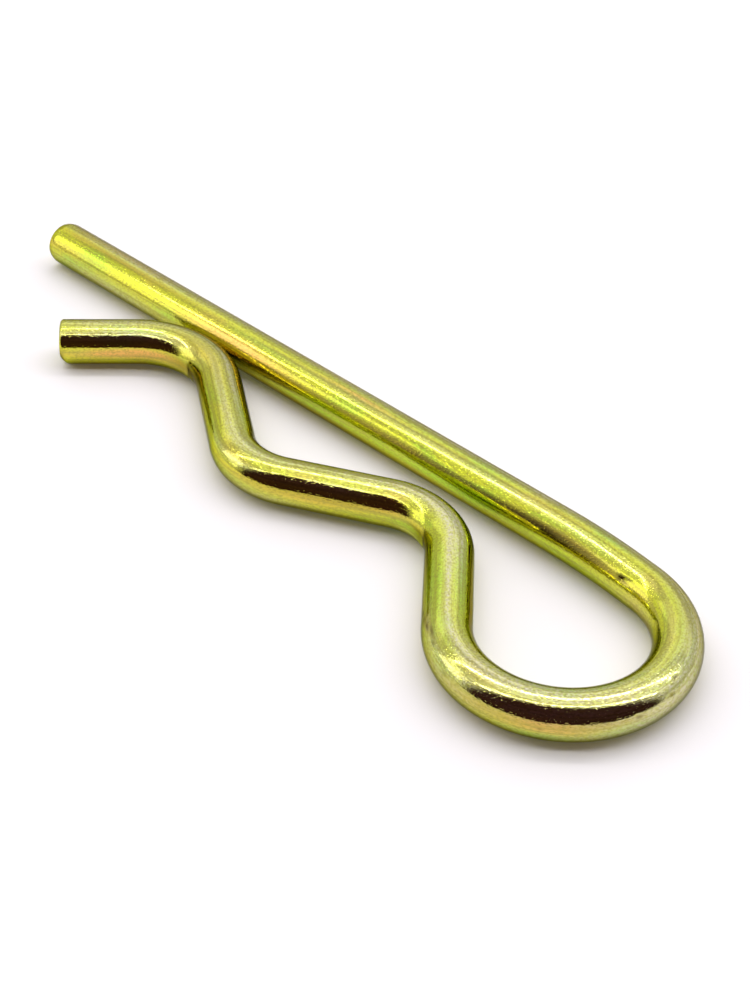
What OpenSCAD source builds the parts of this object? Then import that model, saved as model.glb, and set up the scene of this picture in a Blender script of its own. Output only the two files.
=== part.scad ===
// Hitch R clip pin: one round spring-steel wire, bent in one plane. The straight leg goes through the
// cross hole of a shaft, and the waved leg springs over the outside of the shaft and grips it.
// The wire lies in the XY plane. The origin is on the leg's axis at the middle of the shaft, +X points
// to the leg's tip, +Y to the shaft seat and +Z along the shaft. Slopes are angles to the leg's axis.

/* [Wire] */
// Diameter of the wire
wire_d = 4; // [3:0.1:5]
// How much thinner the bending tool leaves the wire in its bends
bend_thin = 0.02; // [0.02:0.01:0.1]

/* [Straight leg] */
// Length of the straight leg, from its tip to the first bend
leg_l = 60.6; // [45:0.2:90]
// Length of the chamfer at the leg's tip, which finds the cross hole
tip_run = 0.8; // [0.2:0.1:3]
// Depth of the chamfer at the leg's tip
tip_in = 0.4; // [0.1:0.05:1.2]

/* [Bow] */
// Inside radius of the slight bend that leads from the leg into the bow
lead_r = 58; // [30:1:90]
// Angle that the slight bend turns through
lead_turn = 7.5; // [2:0.5:15]
// Straight length between the slight bend and the bow
lead_l = 1.5; // [0.5:0.1:6]
// Inside radius of the bow, the round end that a finger pulls
bow_r = 6.7; // [5.5:0.1:10]

/* [Neck] */
// Slope of the neck, which comes back from the bow to the leg
neck_slope = 49.5; // [35:0.5:60]
// Gap between the leg and the hump at the end of the neck
neck_gap = 2.3; // [0.5:0.1:4]
// Inside radius of that hump
hump_r = 4.4; // [3:0.1:6]

/* [Shaft seat] */
// Distance from the leg's axis to the bottom of the seat: the radius of the shaft
seat_depth = 9.8; // [8.5:0.1:14]
// Inside radius of the bend at the bottom of the seat
seat_r = 4.4; // [3:0.1:6]
// Slope of the seat's side towards the bow
back_slope = 27; // [20:0.5:35]
// Slope of the seat's side towards the tips
front_slope = 36; // [26:0.5:45]

/* [Nose and tail] */
// Gap between the leg and the nose, the hump that springs over the shaft
nose_gap = 0.05; // [0.05:0.05:1.5]
// Inside radius of the nose
nose_r = 5.6; // [4:0.1:8]
// Slope of the tail, the end that flares away from the leg
tail_slope = 45.5; // [30:0.5:60]
// Straight length of the tail
tail_l = 6.6; // [3:0.1:15]
// Length of the chamfer at the tail's end
end_run = 0.4; // [0.2:0.1:2]
// Depth of the chamfer at the tail's end
end_in = 0.4; // [0.1:0.05:1.2]

/* [Hidden] */
$fn = 64;
// How far a straight reaches into the bend beside it, which makes the wire one solid
lap = 0.01;

// Bend radii at the wire's axis
lead_axis_r = lead_r + wire_d / 2;
bow_axis_r = bow_r + wire_d / 2;
hump_axis_r = hump_r + wire_d / 2;
seat_axis_r = seat_r + wire_d / 2;
nose_axis_r = nose_r + wire_d / 2;

// Distance of the wire's axis from the leg's axis at the end of the bow, the hump, the seat and the nose
bow_end_y = lead_axis_r * (1 - cos(lead_turn)) + lead_l * sin(lead_turn)
    + bow_axis_r * (cos(lead_turn) + cos(neck_slope));
hump_y = neck_gap + wire_d;
seat_y = seat_depth + wire_d / 2;
nose_y = nose_gap + wire_d;

// Length of a straight at a slope that climbs what two bends leave of a height, and how far
// along the leg's axis such a straight goes together with its bends
function climb_l(height, bends_r, slope) = (height - bends_r * (1 - cos(slope))) / sin(slope);
function advance(l, bends_r, slope) = l * cos(slope) + bends_r * sin(slope);

neck_l = climb_l(bow_end_y - hump_y, hump_axis_r, neck_slope);
back_l = climb_l(seat_y - hump_y, hump_axis_r + seat_axis_r, back_slope);
front_l = climb_l(seat_y - nose_y, seat_axis_r + nose_axis_r, front_slope);

// How far the leg's tip lies ahead of the middle of the shaft
bow_end_x = leg_l + advance(lead_l, lead_axis_r, lead_turn) - bow_axis_r * (sin(lead_turn) + sin(neck_slope));
tip_x = bow_end_x - advance(neck_l, hump_axis_r, neck_slope)
    - advance(back_l, hump_axis_r + seat_axis_r, back_slope);

// The wire is laid like a path: each length starts at the origin along +X, and its children go on
// from its end. A positive turn is to the left.
module straight(l) {
    translate([-lap, 0, 0]) rotate([0, 90, 0]) cylinder(d = wire_d, h = l + 2 * lap);
    translate([l, 0, 0]) children();
}

module bend(axis_r, turn) {
    side = sign(turn);
    translate([0, side * axis_r, 0]) {
        rotate([0, 0, -90 * side]) rotate_extrude(angle = turn) translate([axis_r, 0])
            circle(d = wire_d - bend_thin);
        rotate([0, 0, turn]) translate([0, -side * axis_r, 0]) children();
    }
}

// The leg starts with a chamfered tip
module leg() {
    rotate([0, 90, 0]) {
        cylinder(d1 = wire_d - 2 * tip_in, d2 = wire_d, h = tip_run);
        translate([0, 0, tip_run]) cylinder(d = wire_d, h = leg_l - tip_run + lap);
    }
    translate([leg_l, 0, 0]) children();
}

// The tail ends in a chamfer
module tail() {
    rotate([0, 90, 0]) {
        translate([0, 0, -lap]) cylinder(d = wire_d, h = tail_l - end_run + lap);
        translate([0, 0, tail_l - end_run]) cylinder(d1 = wire_d, d2 = wire_d - 2 * end_in, h = end_run);
    }
}

module bow() {
    bend(lead_axis_r, -lead_turn)
    straight(lead_l)
    bend(bow_axis_r, lead_turn - 180 - neck_slope)
    children();
}

module neck() {
    straight(neck_l)
    bend(hump_axis_r, neck_slope + back_slope)
    children();
}

module shaft_seat() {
    straight(back_l)
    bend(seat_axis_r, -back_slope - front_slope)
    straight(front_l)
    children();
}

module nose() {
    bend(nose_axis_r, front_slope + tail_slope)
    children();
}

module wire() {
    color("goldenrod")
    translate([tip_x, 0, 0]) rotate([0, 0, 180])
    leg() bow() neck() shaft_seat() nose() tail();
}

wire();
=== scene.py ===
# %% [markdown]
# # A hitch R clip pin in yellow zinc
#
# The object is one spring-steel wire, bent flat into the shape of an R and then plated with zinc, which was
# dipped in a yellow chromate bath. The clip has no other piece. So this lesson is about three things: how
# to carry a round section along a route of straights and bends, how to make a plated wire look drawn, bent
# and handled, and how to light a mirror-like metal so that it shows its shape.
#
# All sizes are in metres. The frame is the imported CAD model: the origin is on the straight leg's axis at
# the middle of the shaft that the clip grips, +X points to the leg's tip, +Y to the waved leg and +Z
# upwards.

# %% Load the frame
import math

import bpy
import numpy as np
from mathutils import Matrix, Vector


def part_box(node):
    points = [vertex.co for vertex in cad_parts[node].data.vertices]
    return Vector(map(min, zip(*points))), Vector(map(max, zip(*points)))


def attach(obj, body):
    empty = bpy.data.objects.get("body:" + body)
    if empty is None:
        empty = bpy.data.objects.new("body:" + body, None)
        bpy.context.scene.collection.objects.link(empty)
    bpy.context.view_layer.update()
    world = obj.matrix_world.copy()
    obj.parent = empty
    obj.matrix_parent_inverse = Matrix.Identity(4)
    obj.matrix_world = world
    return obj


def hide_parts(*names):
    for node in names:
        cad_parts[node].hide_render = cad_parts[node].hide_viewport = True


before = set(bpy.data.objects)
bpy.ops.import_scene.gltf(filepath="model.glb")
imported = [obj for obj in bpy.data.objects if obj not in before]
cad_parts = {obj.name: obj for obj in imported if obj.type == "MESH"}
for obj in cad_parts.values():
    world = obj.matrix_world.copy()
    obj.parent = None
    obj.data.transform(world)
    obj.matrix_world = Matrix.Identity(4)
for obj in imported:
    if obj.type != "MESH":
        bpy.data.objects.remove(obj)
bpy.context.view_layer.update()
MM = 0.001
wire_low, wire_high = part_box("wire")
print("the CAD wire lies between", wire_low, "and", wire_high)

# %% [markdown]
# ## The camera
#
# The photograph looks down on the clip from the side of the bow, from about 17 cm away. A camera can be
# placed by hand until its picture looks right, or worked out from points that are known on the object. Here
# the place and the turn come from such a fit, so they are plain numbers: where the lens is, what it looks
# at, how far the camera is tilted sideways, and its focal length on a sensor of 36 mm.

# %% Camera
CAMERA_AT = Vector((-0.1008, 0.1083, 0.1082))
CAMERA_LOOKS_AT = Vector((-0.0098, 0.0076, 0.0))
CAMERA_ROLL = math.radians(2.012)
CAMERA_LENS_MM, SENSOR_MM = 77.13, 36.0
SEEN_FROM, SEEN_TO = 0.01, 20.0              # distances from the camera, in metres
UP = Vector((0.0, 0.0, 1.0))


def add_object(name, data):
    """An object for a camera, a lamp or a mesh, put into the scene at the origin."""
    thing = bpy.data.objects.new(name, data)
    bpy.context.collection.objects.link(thing)
    return thing


def make_camera():
    """A camera whose -Z axis runs along the line of sight, then turned about that line by the roll."""
    data = bpy.data.cameras.new("camera")
    data.lens, data.sensor_width = CAMERA_LENS_MM, SENSOR_MM
    data.clip_start, data.clip_end = SEEN_FROM, SEEN_TO
    camera = add_object("camera", data)
    sight = (CAMERA_LOOKS_AT - CAMERA_AT).normalized()
    turn = sight.to_track_quat("-Z", "Y").to_matrix().to_4x4()
    camera.matrix_world = Matrix.Translation(CAMERA_AT) @ turn @ Matrix.Rotation(CAMERA_ROLL, 4, "Z")
    bpy.context.scene.camera = camera
    return sight


sight = make_camera()
away = Vector((sight.x, sight.y, 0.0)).normalized()
rightward = away.cross(UP)
print("the camera looks", sight, "and its picture's right is", rightward)

# %% [markdown]
# ## The route of the wire
#
# A bending machine feeds straight wire, and makes each bend by pushing it round a roller. So the route is a
# list of straights and bends, in the order of the machine. The sizes that drive it are the ones on the
# drawing: inside radii, slopes to the straight leg, and gaps. The lengths of the slanted straights follow
# from those sizes. They could be typed as numbers instead, but then the route would break when one size is
# changed.

# %% Driving sizes
WIRE_R = 2.0 * MM
BEND_R = 1.99 * MM          # what a bend leaves of it: the surface keeps to this all along, inside the solid
LEG_L = 60.6 * MM
LEAD_R, LEAD_TURN, LEAD_L = 58.0 * MM, math.radians(7.5), 1.5 * MM
BOW_R = 6.7 * MM
NECK_SLOPE, NECK_GAP, HUMP_R = math.radians(49.5), 2.3 * MM, 4.4 * MM
SEAT_DEPTH, SEAT_R = 9.8 * MM, 4.4 * MM
BACK_SLOPE, FRONT_SLOPE = math.radians(27.0), math.radians(36.0)
NOSE_GAP, NOSE_R = 0.05 * MM, 5.6 * MM
TAIL_SLOPE, TAIL_L = math.radians(45.5), 6.6 * MM
print("the seat fits a shaft of %.1f mm" % (2 * SEAT_DEPTH / MM))


# %% Lengths that follow
def climb(height, bends_r, slope):
    """Length of a straight at a slope: what two bends leave of the height, over the sine of the slope."""
    return (height - bends_r * (1 - math.cos(slope))) / math.sin(slope)


def advance(length, bends_r, slope):
    """How far a slanted straight and its two bends go along the leg's axis."""
    return length * math.cos(slope) + bends_r * math.sin(slope)


lead_r, bow_r, hump_r, seat_r, nose_r = (r + WIRE_R for r in (LEAD_R, BOW_R, HUMP_R, SEAT_R, NOSE_R))
bow_end_y = (lead_r * (1 - math.cos(LEAD_TURN)) + LEAD_L * math.sin(LEAD_TURN)
             + bow_r * (math.cos(LEAD_TURN) + math.cos(NECK_SLOPE)))
hump_y, seat_y, nose_y = NECK_GAP + 2 * WIRE_R, SEAT_DEPTH + WIRE_R, NOSE_GAP + 2 * WIRE_R
neck_l = climb(bow_end_y - hump_y, hump_r, NECK_SLOPE)
back_l = climb(seat_y - hump_y, hump_r + seat_r, BACK_SLOPE)
front_l = climb(seat_y - nose_y, seat_r + nose_r, FRONT_SLOPE)
bow_end_x = (LEG_L + advance(LEAD_L, lead_r, LEAD_TURN)
             - bow_r * (math.sin(LEAD_TURN) + math.sin(NECK_SLOPE)))
tip_x = (bow_end_x - advance(neck_l, hump_r, NECK_SLOPE)
         - advance(back_l, hump_r + seat_r, BACK_SLOPE))

ROUTE = [                                    # name, length along the axis, turn to the left
    ("leg", LEG_L, 0.0),
    ("lead", lead_r * LEAD_TURN, -LEAD_TURN),
    ("lead_straight", LEAD_L, 0.0),
    ("bow", bow_r * (math.pi + NECK_SLOPE - LEAD_TURN), LEAD_TURN - math.pi - NECK_SLOPE),
    ("neck", neck_l, 0.0),
    ("hump", hump_r * (NECK_SLOPE + BACK_SLOPE), NECK_SLOPE + BACK_SLOPE),
    ("back", back_l, 0.0),
    ("seat", seat_r * (BACK_SLOPE + FRONT_SLOPE), -BACK_SLOPE - FRONT_SLOPE),
    ("front", front_l, 0.0),
    ("nose", nose_r * (FRONT_SLOPE + TAIL_SLOPE), FRONT_SLOPE + TAIL_SLOPE),
    ("tail", TAIL_L, 0.0),
]
lengths = {name: length for name, length, _ in ROUTE}
starts = dict(zip(lengths, np.cumsum([0.0] + list(lengths.values()))))
wire_length = sum(lengths.values())
print("the wire is %.1f mm long before bending" % (wire_length / MM))

# %% [markdown]
# The route is then a function of one number, the distance from the leg's tip. Along a straight, the point
# moves on and the heading stays. Along a bend, the heading grows evenly, and the point follows the circle:
# its step is the difference of the sines and cosines of the headings, times the radius. Whole arrays of
# distances go in.

# %% Points along the route
ROUNDING = 1e-12                             # two distances closer than this are the same one


def arc_step(start, end, curvature):
    """Step along an arc: (sin(end) - sin(start), cos(start) - cos(end)) / curvature, for two headings."""
    return np.stack([np.sin(end) - np.sin(start), np.cos(start) - np.cos(end)], -1) / curvature


def along_route(s):
    """For distances s: points (n, 2) and headings (n,) of the wire's axis."""
    points, headings = np.zeros((len(s), 2)), np.zeros(len(s))
    corner, heading = np.array([tip_x, 0.0]), math.pi
    for name, length, turn in ROUTE:
        part = s >= starts[name] - ROUNDING
        t = s[part] - starts[name]
        curvature = turn / length
        headings[part] = heading + curvature * t
        if turn:
            points[part] = corner + arc_step(heading, headings[part], curvature)
            corner = corner + arc_step(heading, heading + turn, curvature)
        else:
            course = np.array([math.cos(heading), math.sin(heading)])
            points[part] = corner + t[:, None] * course
            corner = corner + length * course
        heading = heading + turn
    return points, headings


probe = along_route(np.array([0.0, wire_length]))[0]
print("the wire starts at", probe[0], "and ends at", probe[1])

# %% [markdown]
# ## The section and the ends
#
# The section is round. Its place on the wire is given by two numbers: the distance along the wire, and the
# angle round it. Angle 0 is to the left of the way the wire runs, and 90 degrees is straight up. Both ends
# are cut and their edges are broken. A superellipse with an exponent of 1.3 is such an edge: 1 would be a
# sharp chamfer and 2 a full rounding. The shears that cut the tail have rolled its lower edge over, so
# there the edge is deeper. An end is closed with rings that shrink to one point.

# %% Sizes of the section and the ends
STEP = 0.2 * MM                              # between two rings
ROUND_COUNT = 112                            # points round a ring
TIP_RUN, TIP_IN = 0.7 * MM, 0.22 * MM        # each edge: length along the wire, depth into it
END_RUN, END_IN = 0.2 * MM, 0.2 * MM
ROLL_RUN, ROLL_IN = 0.7 * MM, 0.7 * MM
ROLL_AT, ROLL_WIDTH = -62, 46                # of the tail's rolled edge: middle and half width in degrees
EDGE_RINGS, FACE_RINGS = 12, 6
EDGE_POWER = 1.3
CROWDING = 1.5                               # above 1, the edge's rings stand closer towards the end
ring_angle = np.linspace(0, 2 * math.pi, ROUND_COUNT, endpoint=False)
print("the points of a ring are %.2f mm apart" % (2 * math.pi * BEND_R / ROUND_COUNT / MM))


# %% Rings of an end
def from_to(angle, around):
    """Degrees from one angle round the wire to the other, between -180 and 180."""
    return (np.degrees(angle) - around + 180) % 360 - 180


def end_rings(run, inset):
    """Rings of one end, from its middle outwards: depths (n,) and radii as a share of the wire's (n, count).
    Edge: share = 1 - inset x (1 - (1 - (1 - depth / run)^power)^(1 / power)) / radius. Face: even steps up
    to the edge."""
    depth = run.max() * np.linspace(0, 1, EDGE_RINGS) ** CROWDING
    left = np.clip(1 - depth[:, None] / run, 0, 1)
    edge = 1 - inset / WIRE_R * (1 - (1 - left ** EDGE_POWER) ** (1 / EDGE_POWER))
    face = np.linspace(0, 1, FACE_RINGS, endpoint=False)[1:, None] * edge[0]
    return np.concatenate([np.zeros(len(face)), depth]), np.concatenate([face, edge])


def stations():
    """Distances along the wire and radius shares of all rings, from the tip to the tail's end. The rolled
    edge grows round the wire: edge + (roll - edge) x exp(-(angle from its middle / half width)^2)."""
    even = np.ones(ROUND_COUNT)
    rolled = np.exp(-(from_to(ring_angle, ROLL_AT) / ROLL_WIDTH) ** 2)
    tip_depth, tip_share = end_rings(TIP_RUN * even, TIP_IN * even)
    end_depth, end_share = end_rings(END_RUN + (ROLL_RUN - END_RUN) * rolled,
                                     END_IN + (ROLL_IN - END_IN) * rolled)
    middle = np.arange(tip_depth[-1] + STEP, wire_length - end_depth[-1], STEP)
    s = np.concatenate([tip_depth, middle, (wire_length - end_depth)[::-1]])
    share = np.concatenate([tip_share, np.ones((len(middle), ROUND_COUNT)), end_share[::-1]])
    return s, share


ring_s, ring_share = stations()
print(len(ring_s), "rings of", ROUND_COUNT, "points")

# %% [markdown]
# ## Marks of the tools
#
# A wire that was bent and handled isn't a perfect tube. The pin of the bending machine presses a flat on
# the inner side of a tight bend and leaves a crease beside it, and there is a nick near the bow and a few
# pits. These marks are shape, so they go into the mesh: each takes a little off the radius, and none adds
# to it.

# %% Places of the marks
# soft dents: millimetres along the wire, degrees round it, half length, half width, depth in millimetres
DENTS = [
    (69.2, 145, 0.45, 5, 0.10), (69.9, 139, 0.5, 4, 0.05), (114.4, -14, 0.4, 26, 0.10),
    (113.4, -22, 0.6, 14, 0.07), (148.9, -8, 0.4, 26, 0.10), (147.6, -12, 0.7, 18, 0.08),
    (144.5, 2, 0.4, 10, 0.04), (141.0, 8, 0.3, 8, 0.04), (102.3, 36, 0.35, 7, 0.05),
    (101.6, 24, 0.30, 6, 0.04), (103.0, 44, 0.30, 6, 0.04), (81.8, 53, 0.25, 5, 0.05),
    (82.7, 29, 0.25, 5, 0.05), (85.4, 18, 0.25, 5, 0.04), (62.3, 186, 0.35, 5, 0.04),
    (131.0, 60, 0.3, 5, 0.03),
]
# pressed flats: the bend, the side of the pin in degrees, half length and depth in millimetres
FLATS = [("hump", 0, 2.4, 0.10), ("seat", 180, 2.4, 0.10), ("nose", 0, 2.8, 0.10)]
FLAT_REACH = 80                              # degrees from the pin where a flat has surely ended
print(len(DENTS), "dents and", len(FLATS), "flats")


# %% Depth of the marks
def taken_off(s, angle):
    """Depth of all marks. Dent: depth x exp(-(distance / half length)^2 - (angle / half width)^2). Flat: what
    a plane at radius - depth cuts off the circle, times a soft step along the wire."""
    depth = np.zeros(np.broadcast(s, angle).shape)
    for along, around, half_length, half_width, deep in DENTS:
        far = ((s / MM - along) / half_length) ** 2
        depth += deep * MM * np.exp(-far - (from_to(angle, around) / half_width) ** 2)
    for bend, around, half_length, deep in FLATS:
        middle = starts[bend] + 0.5 * lengths[bend]
        slope = np.cos(np.radians(np.clip(from_to(angle, around), -FLAT_REACH, FLAT_REACH)))
        cut = np.clip(BEND_R - (BEND_R - deep * MM) / slope, 0, None)
        depth += cut * np.exp(-((s - middle) / (half_length * MM)) ** 4)
    return depth


deepest = taken_off(ring_s[:, None], ring_angle[None, :]).max()
print("the deepest mark takes off %.2f mm" % (deepest / MM))

# %% [markdown]
# The wire's surface is then a function of the two numbers, worked out for all rings at once. Neighbouring
# rings are joined by quads, and each end is closed by a fan round one point. A mesh can also remember more
# than its shape: here each point keeps the place that it had on the wire before bending.


# %% The wire's surface
def wire_surface(s, share, angle):
    """Point = axis + radius x (cos(angle) x left + sin(angle) x up), on the grid of distances and angles."""
    axis, heading = along_route(s)
    left = np.stack([-np.sin(heading), np.cos(heading), 0 * heading], 1)
    outward = (np.cos(angle)[None, :, None] * left[:, None, :]
               + np.sin(angle)[None, :, None] * np.array([0, 0, 1.0]))
    centre = np.concatenate([axis, np.zeros((len(s), 1))], 1)
    radius = (BEND_R - taken_off(s[:, None], angle[None, :])) * share
    return centre[:, None, :] + radius[:, :, None] * outward


def wire_faces(rings, count):
    """Quads between neighbouring rings, and a fan of triangles at each pole. Poles are the last two points.
    Seen from outside, the points of each face go round to the left, so all faces look outward."""
    i, j = np.meshgrid(np.arange(rings - 1), np.arange(count), indexing="ij")
    a, b = i * count + j, i * count + (j + 1) % count
    quads = np.stack([a, b, b + count, a + count], -1).reshape(-1, 4)
    j = np.arange(count)
    first, last = rings * count, rings * count + 1
    end = (rings - 1) * count
    start_fan = np.stack([np.full(count, first), (j + 1) % count, j], 1)
    end_fan = np.stack([np.full(count, last), end + j, end + (j + 1) % count], 1)
    return quads, np.concatenate([start_fan, end_fan])


def straightened():
    """Each point on the wire before bending: (radius x cos(angle), radius x sin(angle), distance)."""
    s = np.repeat(ring_s, ROUND_COUNT)
    a = np.tile(ring_angle, len(ring_s))
    r = ring_share.ravel() * WIRE_R
    rings = np.stack([r * np.cos(a), r * np.sin(a), s], 1)
    return np.concatenate([rings, [[0, 0, 0], [0, 0, wire_length]]])


# %% Make the wire
def make_wire():
    """The grid of points and its two poles as one closed, smooth mesh."""
    grid = wire_surface(ring_s, ring_share, ring_angle)
    poles = wire_surface(np.array([0.0, wire_length]), np.zeros((2, 1)), np.zeros(1))[:, 0]
    points = np.concatenate([grid.reshape(-1, 3), poles])
    quads, fans = wire_faces(len(ring_s), ROUND_COUNT)
    mesh = bpy.data.meshes.new("spring_wire")
    mesh.from_pydata(points.tolist(), [], quads.tolist() + fans.tolist())
    mesh.polygons.foreach_set("use_smooth", np.ones(len(mesh.polygons), bool))
    place = mesh.attributes.new("before_bending", "FLOAT_VECTOR", "POINT")
    place.data.foreach_set("vector", straightened().ravel())
    mesh.update()
    return add_object("spring_wire", mesh)


wire = make_wire()
print("the wire has", len(wire.data.polygons), "faces")

# %% [markdown]
# ## Yellow zinc
#
# Yellow chromate is a clear, thin film over zinc. Where its thickness changes, the colour drifts to lime,
# to orange pink or to a brownish tone, and where the clip has rubbed against others the film is pale and
# dull. Not all the patches are the film: part of the brownish ones is painted shade, on lower sides and rims
# that face the shadow under the wire and in dark lines between the lamps' reflections, and part of the pale
# ones is painted light, on lower sides and rims that would see more of the lit paper and the grey room. A few
# pink ones are a painted orange reflection, and the dark spots in the dents, the crease and the nick are
# painted shade. A single noise could mix these colours, but it would put them anywhere. Here they are five
# lists of patches with a place on the wire, made as point attributes from soft spots:
# strength x exp(-(distance / half length)^2 - (angle / half width)^2).

# %% Places of the patches
# each patch: millimetres along the wire, degrees round it, half length, half width, strength
# Most pink patches are the film's colour. Those on the leg beside the nose, at about 24 to 27 mm, are a
# painted orange reflection of the nose, and the one at 62 mm is a painted orange fringe of the dark reflected
# band.
PINK_FILM_AND_REFLECTION = [
    (24.5, 139, 6, 15, 1.0), (27, 160, 5, 18, 1.0), (3, 150, 3, 10, 0.3), (46, 150, 6, 6, 0.4),
    (62, 152, 7, 7, 0.6), (40, 95, 2.5, 8, 0.5), (10, 72, 7, 14, 0.8), (34, 66, 6, 9, 0.4),
    (91, 6, 3.5, 12, 0.7), (91, 20, 2.5, 9, 0.9), (107, 148, 5, 8, 0.4), (112, 20, 5, 15, 0.3),
    (127, 8, 5, 12, 0.5), (133, 15, 3, 14, 0.2), (142, 155, 3, 10, 0.2), (38, 96, 3, 6, 0.5),
    (147, 60, 5, 40, 0.35), (156, 2, 5.5, 13, 1.4), (77, 110, 3, 15, 0.4), (76, 10, 3, 16, 0.5),
    (76, 188, 4, 14, 0.5), (120, 20, 3, 10, 0.5),
]
LIME = [
    (9, 182, 5, 16, 0.4), (35, 182, 6, 14, 0.9), (50, 178, 8, 14, 1.0), (27, 110, 4, 10, 0.5),
    (63, 185, 5, 15, 0.6), (80, 60, 4, 20, 0.5), (80, 36, 4, 18, 0.6), (86.5, 2, 2.5, 16, 1.0),
    (108, 122, 6, 20, 1.0), (107, 42, 6, 20, 1.0), (118, 0, 3, 12, 0.9), (113, -28, 4, 16, 0.7),
    (106, 72, 6, 9, 0.6), (139, 120, 4, 14, 0.4), (72, 0, 4, 22, 0.6), (76, 84, 5, 26, 0.6),
    (33, 196, 5, 12, 0.5), (81, -12, 5, 18, 0.7), (128, 90, 5, 10, 0.4), (133, 4, 4, 12, 0.7),
    (139, 40, 5, 14, 0.5), (161, 5, 1, 8, 0.9), (79, 20, 3, 14, 0.6), (46, 88, 14, 5, 0.5),
]
# Brownish patches: partly the film's colour, mostly painted shade. Those on lower sides and rims, and on the
# inner sides of the bow, paint the dark reflection of the shadow under the wire. Those in thin lines at a
# fixed angle paint the dark gaps between the lamps' reflections and the edge of the dark reflected band.
BROWN_FILM_AND_SHADE = [
    (93, 13, 12, 10, 0.7), (125, 15, 6, 10, 0.8), (155, -4, 7, 12, 0.2), (147, 0, 5, 22, 0.9),
    (87, 21, 3, 7, 0.6), (9, 104, 11, 9, 1.0), (32, 208, 16, 20, 1.0), (55, 214, 10, 14, 0.5),
    (28, 150, 9, 9, 0.5), (63, 144, 6, 14, 1.0), (63, 152, 6, 10, 0.5), (86, -48, 18, 14, 0.6),
    (151, -56, 13, 14, 0.8), (133.5, 138, 3.5, 9, 0.7), (100, 152, 6, 12, 0.8), (88, 136, 6, 10, 0.6),
    (105, 150, 6, 12, 0.6), (122, 124, 5, 10, 0.4), (40, 150, 12, 7, 0.5), (103, 36, 1.6, 12, 0.7),
    (62, 46, 60, 6, 0.5), (75, 70, 5, 24, 0.6), (142, 74, 4, 24, 0.4), (149, 74, 5, 20, 0.3),
    (10, 152, 9, 9, 0.5), (61, 97, 5, 8, 0.6), (36, 100, 10, 4, 0.5),
]
# These dark spots are painted shade, in the dents, the crease of the nose and the nick near the bow.
DENT_SHADE_SPOTS = [
    (102.6, 36, 0.4, 5, 1.0), (101.9, 47, 0.5, 4, 0.9), (103.4, 29, 0.4, 6, 0.8), (104.3, 22, 0.3, 5, 0.8),
    (100.9, 40, 0.3, 4, 0.6), (81.8, 53, 0.25, 4, 1.0), (82.7, 29, 0.25, 4, 1.0), (85.4, 18, 0.2, 4, 0.8),
    (84.1, 36, 0.3, 4, 0.6), (98.6, 22, 0.25, 4, 0.6), (148.9, -8, 0.25, 20, 0.8), (147.9, 4, 0.3, 6, 0.7),
    (114.3, -14, 0.25, 20, 0.6), (69.3, 149, 0.4, 3, 0.9), (91.5, 6, 0.2, 3, 0.6), (130.6, 62, 0.2, 3, 0.6),
    (119.4, 6, 0.2, 4, 0.5), (162.6, -20, 0.2, 30, 0.6), (63, 143, 6, 8, 0.4),
]
# Pale patches: partly real wear, on the tops where the clip has rubbed, and partly painted light, on lower
# sides and rims that would see more of the lit paper, with grey painted reflections of the room on the far
# rims.
WORN_AND_LIGHTENED = [
    (20, 66, 30, 18, 0.9), (58, 66, 20, 18, 0.9), (50, 108, 22, 9, 0.45), (90, 82, 10, 34, 0.75),
    (98, 88, 6, 14, 0.6), (108, 88, 7, 7, 0.8), (115, 100, 7, 26, 0.7), (124, 96, 9, 26, 0.65),
    (134, 95, 5, 24, 0.55), (142, 82, 7, 10, 0.6), (158, 95, 6, 26, 0.8), (157, 56, 8, 9, 0.6),
    (78, 22, 8, 36, 1.0), (8, 58, 12, 14, 0.6), (62, 58, 8, 12, 0.4), (93, 40, 11, 14, 0.6),
    (157, 44, 6, 10, 0.6), (125, 46, 4, 11, 0.6), (151, 128, 5, 16, 0.6), (142, 116, 5, 14, 0.6),
    (115, -26, 4, 12, 0.6), (138, -2, 4, 12, 0.5), (150, 106, 5, 12, 0.6), (92, 112, 10, 12, 0.5),
    (9, 192, 9, 22, 0.6), (10, 88, 10, 9, 0.5), (64, 118, 8, 8, 0.2), (75, 185, 6, 25, 0.5),
    (85, -20, 8, 16, 0.6), (83, 0, 4, 20, 0.5), (99, 0, 4, 28, 0.5), (133, -22, 6, 16, 0.6),
    (133, 42, 5, 9, 0.5), (147, 122, 6, 14, 0.5), (112, 118, 5, 12, 0.5),
]
PATCHES = {"pink": PINK_FILM_AND_REFLECTION, "lime": LIME, "brown_and_shade": BROWN_FILM_AND_SHADE, "dent_shade": DENT_SHADE_SPOTS, "worn_and_lightened": WORN_AND_LIGHTENED}
print(sum(len(places) for places in PATCHES.values()), "patches of", len(PATCHES), "kinds")

# %% Patches of colour
CLEAR = 0.3                                  # from this strength on, a patch is plain to see


def patches(places, s, angle):
    """Sum of the soft spots of a list, at most 1, over a grid of distances and angles."""
    total = np.zeros(np.broadcast(s, angle).shape)
    for along, around, half_length, half_width, strength in places:
        spot = ((s / MM - along) / half_length) ** 2 + (from_to(angle, around) / half_width) ** 2
        total += strength * np.exp(-spot)
    return np.clip(total, 0, 1)


def paint(mesh, name, places):
    """The patches of one list as a number on each point of the mesh. The two poles stay bare."""
    values = np.concatenate([patches(places, ring_s[:, None], ring_angle[None, :]).ravel(), [0, 0]])
    mesh.attributes.new(name, "FLOAT", "POINT").data.foreach_set("value", values)
    print(name, "covers %.0f%% of the wire" % (100 * (values > CLEAR).mean()))


for name, places in PATCHES.items():
    paint(wire.data, name, places)

# %% [markdown]
# A material is a graph of small steps, called nodes. Made one by one they fill pages, and this lesson needs
# them for the film, for the table and for the room. So the steps that come back get a short name each.


# %% Steps of a material
FIRST_COLOUR, SECOND_COLOUR, BLENDED = 6, 7, 2           # a Mix node's sockets for colours, in its lists


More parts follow.
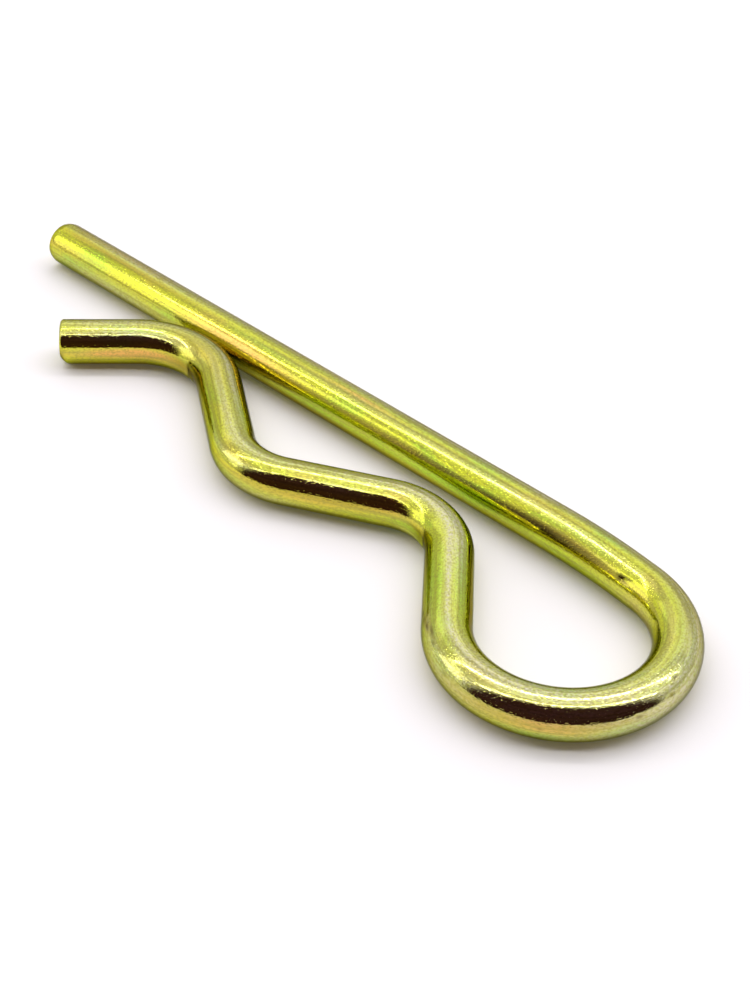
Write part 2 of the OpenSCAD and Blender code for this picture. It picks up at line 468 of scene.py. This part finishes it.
class Graph:
    """The nodes of a material or a world. Each method adds one step and gives back its result."""

    def __init__(self, owner):
        owner.use_nodes = True
        self.nodes, self.links = owner.node_tree.nodes, owner.node_tree.links

    def add(self, kind, **settings):
        """A new node of a kind, with its settings."""
        node = self.nodes.new("ShaderNode" + kind)
        for key, setting in settings.items():
            setattr(node, key, setting)
        return node

    def put(self, value, socket):
        """Link the result of a step to a socket, or set the socket to a number or a colour."""
        if isinstance(value, bpy.types.NodeSocket):
            self.links.new(value, socket)
        else:
            socket.default_value = value

    def attribute(self, name, output="Fac"):
        return self.add("Attribute", attribute_name=name).outputs[output]

    def calculated(self, operation, *values):
        step = self.add("Math", operation=operation)
        for value, socket in zip(values, step.inputs):
            self.put(value, socket)
        return step.outputs[0]

    def scaled(self, value, low, high, to_low, to_high, curve="LINEAR"):
        """A value between low and high becomes one between to_low and to_high, and never leaves them."""
        change = self.add("MapRange", interpolation_type=curve)
        self.put(value, change.inputs["Value"])
        for key, number in (("From Min", low), ("From Max", high), ("To Min", to_low), ("To Max", to_high)):
            change.inputs[key].default_value = number
        return change.outputs["Result"]

    def mixed(self, factor, first, second):
        """A blend of two colours: the first at factor 0, the second at factor 1."""
        mix = self.add("Mix", data_type="RGBA")
        self.put(factor, mix.inputs["Factor"])
        for colour, slot in ((first, FIRST_COLOUR), (second, SECOND_COLOUR)):
            self.put((*colour, 1.0) if isinstance(colour, tuple) else colour, mix.inputs[slot])
        return mix.outputs[BLENDED]

    def pattern(self, place, per_metre_round, per_metre_along, detail, *ranges):
        """Noise at a place on the straightened wire, stretched along it, then scaled."""
        stretch = self.add("VectorMath", operation="MULTIPLY")
        stretch.inputs[1].default_value = (per_metre_round, per_metre_round, per_metre_along)
        self.links.new(place, stretch.inputs[0])
        texture = self.add("TexNoise")
        texture.inputs["Scale"].default_value = 1.0
        texture.inputs["Detail"].default_value = detail
        self.links.new(stretch.outputs[0], texture.inputs["Vector"])
        return self.scaled(texture.outputs["Fac"], *ranges)


# %% [markdown]
# The film is a metal under a thin clear coat, which adds a faint white gloss. Its colour starts as a slow
# drift between yellow, lime and pink, the patches lie over that, and small flecks and thin streaks over
# all. The drawing die leaves fine lines along the wire, and plating leaves a slight waviness, like the peel
# of an orange, with small grains and specks. None of this is deeper than two hundredths of a millimetre,
# too fine for the mesh, so it is bump. Colour and bump both come from noise that is stretched along the
# wire. The noise reads the place of each point on the wire before bending, so the lines follow the bends.

# %% Colours and patterns of the film
YELLOW, GREEN, ORANGE_PINK = (0.605, 0.63, 0.037), (0.40, 0.62, 0.05), (0.78, 0.42, 0.11)
# Of the next three colours, the first paints the film's brownish tone and painted shade, the second paints
# rubbed wear and painted light, and the third paints shade in the dents.
SHADE_BROWN, PALE_WEAR_AND_LIGHT, DENT_SHADE_COLOUR = (0.42, 0.33, 0.04), (0.60, 0.56, 0.39), (0.09, 0.06, 0.03)
FLECK, STREAK = (0.32, 0.28, 0.05), (0.33, 0.30, 0.06)
EDGE_TINT = (0.31, 0.31, 0.25)               # what the metal's mirror turns to at a grazing angle
COAT_WEIGHT, COAT_ROUGHNESS = 0.14, 0.06
WORN_ROUGHNESS = 0.07                        # added over the pale patches: rubbed wear and painted light
MICROMETRE = 0.000001

# each pattern: waves per metre round the wire and along it, detail; the noise's range and what it becomes
GREEN_DRIFT = (500, 160, 2.0, 0.47, 0.33, 0.0, 0.8)
PINK_DRIFT = (500, 160, 2.0, 0.58, 0.74, 0.0, 0.4)
WEAR_AND_LIGHT_BREAKUP = (6000, 3600, 3.0, 0.32, 0.68, 0.45, 1.1)
FLECKS = (6200, 4200, 2.0, 0.46, 0.64, 0.0, 0.5)
STREAKS = (3800, 60, 2.0, 0.49, 0.63, 0.0, 0.5)
ROUGHNESS = (3000, 300, 2.0, 0.3, 0.7, 0.04, 0.075)
# heights in micrometres
RELIEF = {
    "lines": (4200, 60, 2.0, 0.0, 1.0, 0.0, 8.0),
    "peel": (1000, 200, 1.0, 0.0, 1.0, 0.0, 16.0),
    "grain": (9000, 5000, 1.0, 0.0, 1.0, 0.0, 4.0),
    "specks": (8000, 6000, 0.0, 0.60, 0.75, 0.0, 4.0),
}
print("the relief has", ", ".join(RELIEF))


# %% Colour and relief of the film
def film_colour(graph, place):
    """Base colour, and how much of the film is paled by rubbing and by painted light: a drift, then patches,
    then flecks and streaks.
    """
    colour = graph.mixed(graph.pattern(place, *GREEN_DRIFT), YELLOW, GREEN)
    colour = graph.mixed(graph.pattern(place, *PINK_DRIFT), colour, ORANGE_PINK)
    # The brownish patches paint shade as well as the film's colour, and a few pink ones paint an orange
    # reflection.
    for name, tint in (("lime", GREEN), ("pink", ORANGE_PINK), ("brown_and_shade", SHADE_BROWN)):
        colour = graph.mixed(graph.attribute(name), colour, tint)
    # The pale mix paints rubbed wear and painted light.
    scuffed_and_lightened = graph.calculated("MULTIPLY", graph.attribute("worn_and_lightened"), graph.pattern(place, *WEAR_AND_LIGHT_BREAKUP))
    colour = graph.mixed(scuffed_and_lightened, colour, PALE_WEAR_AND_LIGHT)
    # The darkest mix paints shade in the dents, the crease and the nick.
    colour = graph.mixed(graph.attribute("dent_shade"), colour, DENT_SHADE_COLOUR)
    colour = graph.mixed(graph.pattern(place, *FLECKS), colour, FLECK)
    colour = graph.mixed(graph.pattern(place, *STREAKS), colour, STREAK)
    return colour, scuffed_and_lightened


def film_relief(graph, place):
    """Bump from height = lines + peel + grain + specks."""
    lines, peel, grain, specks = (graph.pattern(place, *kind) for kind in RELIEF.values())
    coarse, fine = graph.calculated("ADD", lines, peel), graph.calculated("ADD", grain, specks)
    bump = graph.add("Bump")
    bump.inputs["Strength"].default_value = 1.0
    bump.inputs["Distance"].default_value = MICROMETRE
    graph.links.new(graph.calculated("ADD", coarse, fine), bump.inputs["Height"])
    return bump.outputs["Normal"]


# %% Yellow zinc
def yellow_zinc():
    """A metal with the film's colour, roughness and relief, under a thin clear coat."""
    material = bpy.data.materials.new("yellow_zinc")
    graph = Graph(material)
    shader = graph.nodes["Principled BSDF"]
    shader.inputs["Metallic"].default_value = 1.0
    shader.inputs["Specular Tint"].default_value = (*EDGE_TINT, 1.0)
    shader.inputs["Coat Weight"].default_value = COAT_WEIGHT
    shader.inputs["Coat Roughness"].default_value = COAT_ROUGHNESS
    place = graph.attribute("before_bending", "Vector")
    colour, scuffed_and_lightened = film_colour(graph, place)
    dulled = graph.scaled(scuffed_and_lightened, 0.0, 1.0, 0.0, WORN_ROUGHNESS)
    roughness = graph.calculated("ADD", graph.pattern(place, *ROUGHNESS), dulled)
    graph.links.new(colour, shader.inputs["Base Color"])
    graph.links.new(roughness, shader.inputs["Roughness"])
    graph.links.new(film_relief(graph, place), shader.inputs["Normal"])
    print("the film's material has", len(graph.nodes), "nodes")
    return material


wire.data.materials.append(yellow_zinc())
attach(wire, "root")
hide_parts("wire")

# %% [markdown]
# ## The table
#
# The clip lies on plain white paper. A metal shows what is around it, so the paper has to be there for its
# reflections too. Where the camera or the metal sees it, the paper is lifted: a little near the clip, so
# that the shadow stays, more in two ramps further away, where the lamps don't reach, and a touch more in
# the metal. More lamps could do this too, but the clip would show them.

# %% Table
TABLE_Z, TABLE_HALF = -WIRE_R, 1.5
PAPER, PAPER_ROUGHNESS, PAPER_GLOSS = (0.92, 0.885, 0.915), 0.7, 0.2
WHITE = (1.0, 1.0, 1.0)
# each ramp: from and to a distance from the origin in metres, lift there
LIFTS = ((0.04, 0.16, 0.03, 0.30), (0.30, 1.10, 0.0, 0.60))
METAL_LIFT = 0.08


def white_paper():
    """Emission = the sum of the two ramps where camera or metal look, + the metal's own lift in the metal."""
    material = bpy.data.materials.new("white_paper")
    graph = Graph(material)
    shader = graph.nodes["Principled BSDF"]
    shader.inputs["Base Color"].default_value = (*PAPER, 1.0)
    shader.inputs["Roughness"].default_value = PAPER_ROUGHNESS
    shader.inputs["Specular IOR Level"].default_value = PAPER_GLOSS
    shader.inputs["Emission Color"].default_value = (*WHITE, 1.0)
    path = graph.add("LightPath").outputs
    seen = graph.calculated("MAXIMUM", path["Is Camera Ray"], path["Is Glossy Ray"])
    distance = graph.add("VectorMath", operation="LENGTH")
    graph.links.new(graph.add("TexCoord").outputs["Object"], distance.inputs[0])
    lift = graph.calculated("ADD", *(graph.scaled(distance.outputs["Value"], *ramp) for ramp in LIFTS))
    shown = graph.calculated("MULTIPLY", seen, lift)
    strength = graph.calculated("MULTIPLY_ADD", path["Is Glossy Ray"], METAL_LIFT, shown)
    graph.links.new(strength, shader.inputs["Emission Strength"])
    return material


def make_table():
    """One large square, with the wire resting on it."""
    mesh = bpy.data.meshes.new("table")
    corners = [(x * TABLE_HALF, y * TABLE_HALF, TABLE_Z) for x, y in ((-1, -1), (1, -1), (1, 1), (-1, 1))]
    mesh.from_pydata(corners, [], [(0, 1, 2, 3)])
    mesh.materials.append(white_paper())
    add_object("table", mesh)
    print("the table is at z = %.4f" % TABLE_Z)


make_table()

# %% [markdown]
# ## The lamps
#
# The bright lines along the clip are the reflections of two long tubes overhead, each in a wider, weaker
# trough, and the dark oval on each slanted part is the dim side of the room, where the camera stands. How
# far apart the lines are on the wire tells the angle of the lamps, and how they shift from the bow to the
# tail tells their height. A wide, weak lamp hangs behind the tubes, and a softly lit ceiling and left wall
# fill the rest. One big soft lamp would light the clip too, but it would show as one broad band.

# %% A lamp
PARALLEL = 0.1                               # shorter than this, rightward has no part across the lamp


def panel(name, centre, facing, size_across, size_up, level):
    """A flat lamp of an even brightness: level 1 is the brightness of a white sheet in full light. Power =
    level x pi x area. Its width lies along rightward, or along away if it faces along rightward."""
    data = bpy.data.lights.new(name, "AREA")
    data.shape = "RECTANGLE"
    data.size, data.size_y = size_across, size_up
    data.energy = level * math.pi * size_across * size_up
    z = -facing.normalized()
    x = rightward - z * rightward.dot(z)
    x = x.normalized() if x.length > PARALLEL else away.copy()
    y = z.cross(x)
    add_object(name, data).matrix_world = Matrix((
        (x.x, y.x, z.x, centre.x), (x.y, y.y, z.y, centre.y), (x.z, y.z, z.z, centre.z), (0, 0, 0, 1)))


# %% Lamps
LAMP_HEIGHT, LAMPS_RIGHT = 0.24, 0.04
# each lamp: metres away from the camera, metres above the height, width, length, level
LAMPS = {
    "near_tube": (-0.077, 0.0, 0.006, 0.60, 13.0),
    "near_trough": (-0.077, 0.004, 0.014, 0.60, 0.8),
    "middle_tube": (0.063, 0.0, 0.008, 0.66, 11.5),
    "middle_trough": (0.063, 0.004, 0.036, 0.66, 1.0),
    "far_lamp": (0.27, 0.0, 0.170, 0.80, 0.45),
}
# each part of the ceiling: metres to the right, length, level
CEILING = {"ceiling_left": (-0.32, 0.36, 0.14), "ceiling_right": (0.20, 0.68, 0.42)}
CEILING_AWAY, CEILING_ABOVE, CEILING_WIDTH = 0.02, 0.01, 0.25
# the wall: metres to the right, away and up, width, height, level
LEFT_WALL = (-0.8, 0.06, 0.40, 0.36, 0.5, 1.2)

for name, (ahead, up, width, length, level) in LAMPS.items():
    centre = away * ahead + rightward * LAMPS_RIGHT + UP * (LAMP_HEIGHT + up)
    panel(name, centre, -UP, length, width, level)
for name, (across, length, level) in CEILING.items():
    centre = rightward * across + away * CEILING_AWAY + UP * (LAMP_HEIGHT + CEILING_ABOVE)
    panel(name, centre, -UP, length, CEILING_WIDTH, level)
across, ahead, up, width, height, level = LEFT_WALL
panel("left_wall", rightward * across + away * ahead + UP * up, rightward, width, height, level)
print(len(bpy.data.lights), "lamps")

# %% [markdown]
# ## The room
#
# The rest of the room is a world whose brightness depends on the direction: dim on the camera's side, and
# at a plain level all round behind the clip. A world of one grey would be simpler, but then the wire would
# lose its dark ovals. The camera itself sees plain white there.

# %% Room
DIM_TO, LIGHT_FROM = -0.36, -0.14            # of a direction's part that points away from the camera
DIM_SIDE, LIGHT_SIDE = (0.048, 0.019, 0.027), (0.90, 0.90, 0.90)


def make_room():
    """Brightness = a soft step over direction x away, from the dim side to the light one."""
    world = bpy.data.worlds.new("room")
    bpy.context.scene.world = world
    graph = Graph(world)
    part_away = graph.add("VectorMath", operation="DOT_PRODUCT")
    part_away.inputs[1].default_value = away
    graph.links.new(graph.add("TexCoord").outputs["Generated"], part_away.inputs[0])
    side = graph.scaled(part_away.outputs["Value"], DIM_TO, LIGHT_FROM, 0.0, 1.0, curve="SMOOTHSTEP")
    room = graph.mixed(side, DIM_SIDE, LIGHT_SIDE)
    seen = graph.mixed(graph.add("LightPath").outputs["Is Camera Ray"], room, WHITE)
    background = graph.nodes["Background"]
    graph.links.new(seen, background.inputs["Color"])
    background.inputs["Strength"].default_value = 1.0
    print("the room's dim side is", DIM_SIDE, "and its light side", LIGHT_SIDE)


make_room()
bpy.context.scene.view_settings.view_transform = "Standard"
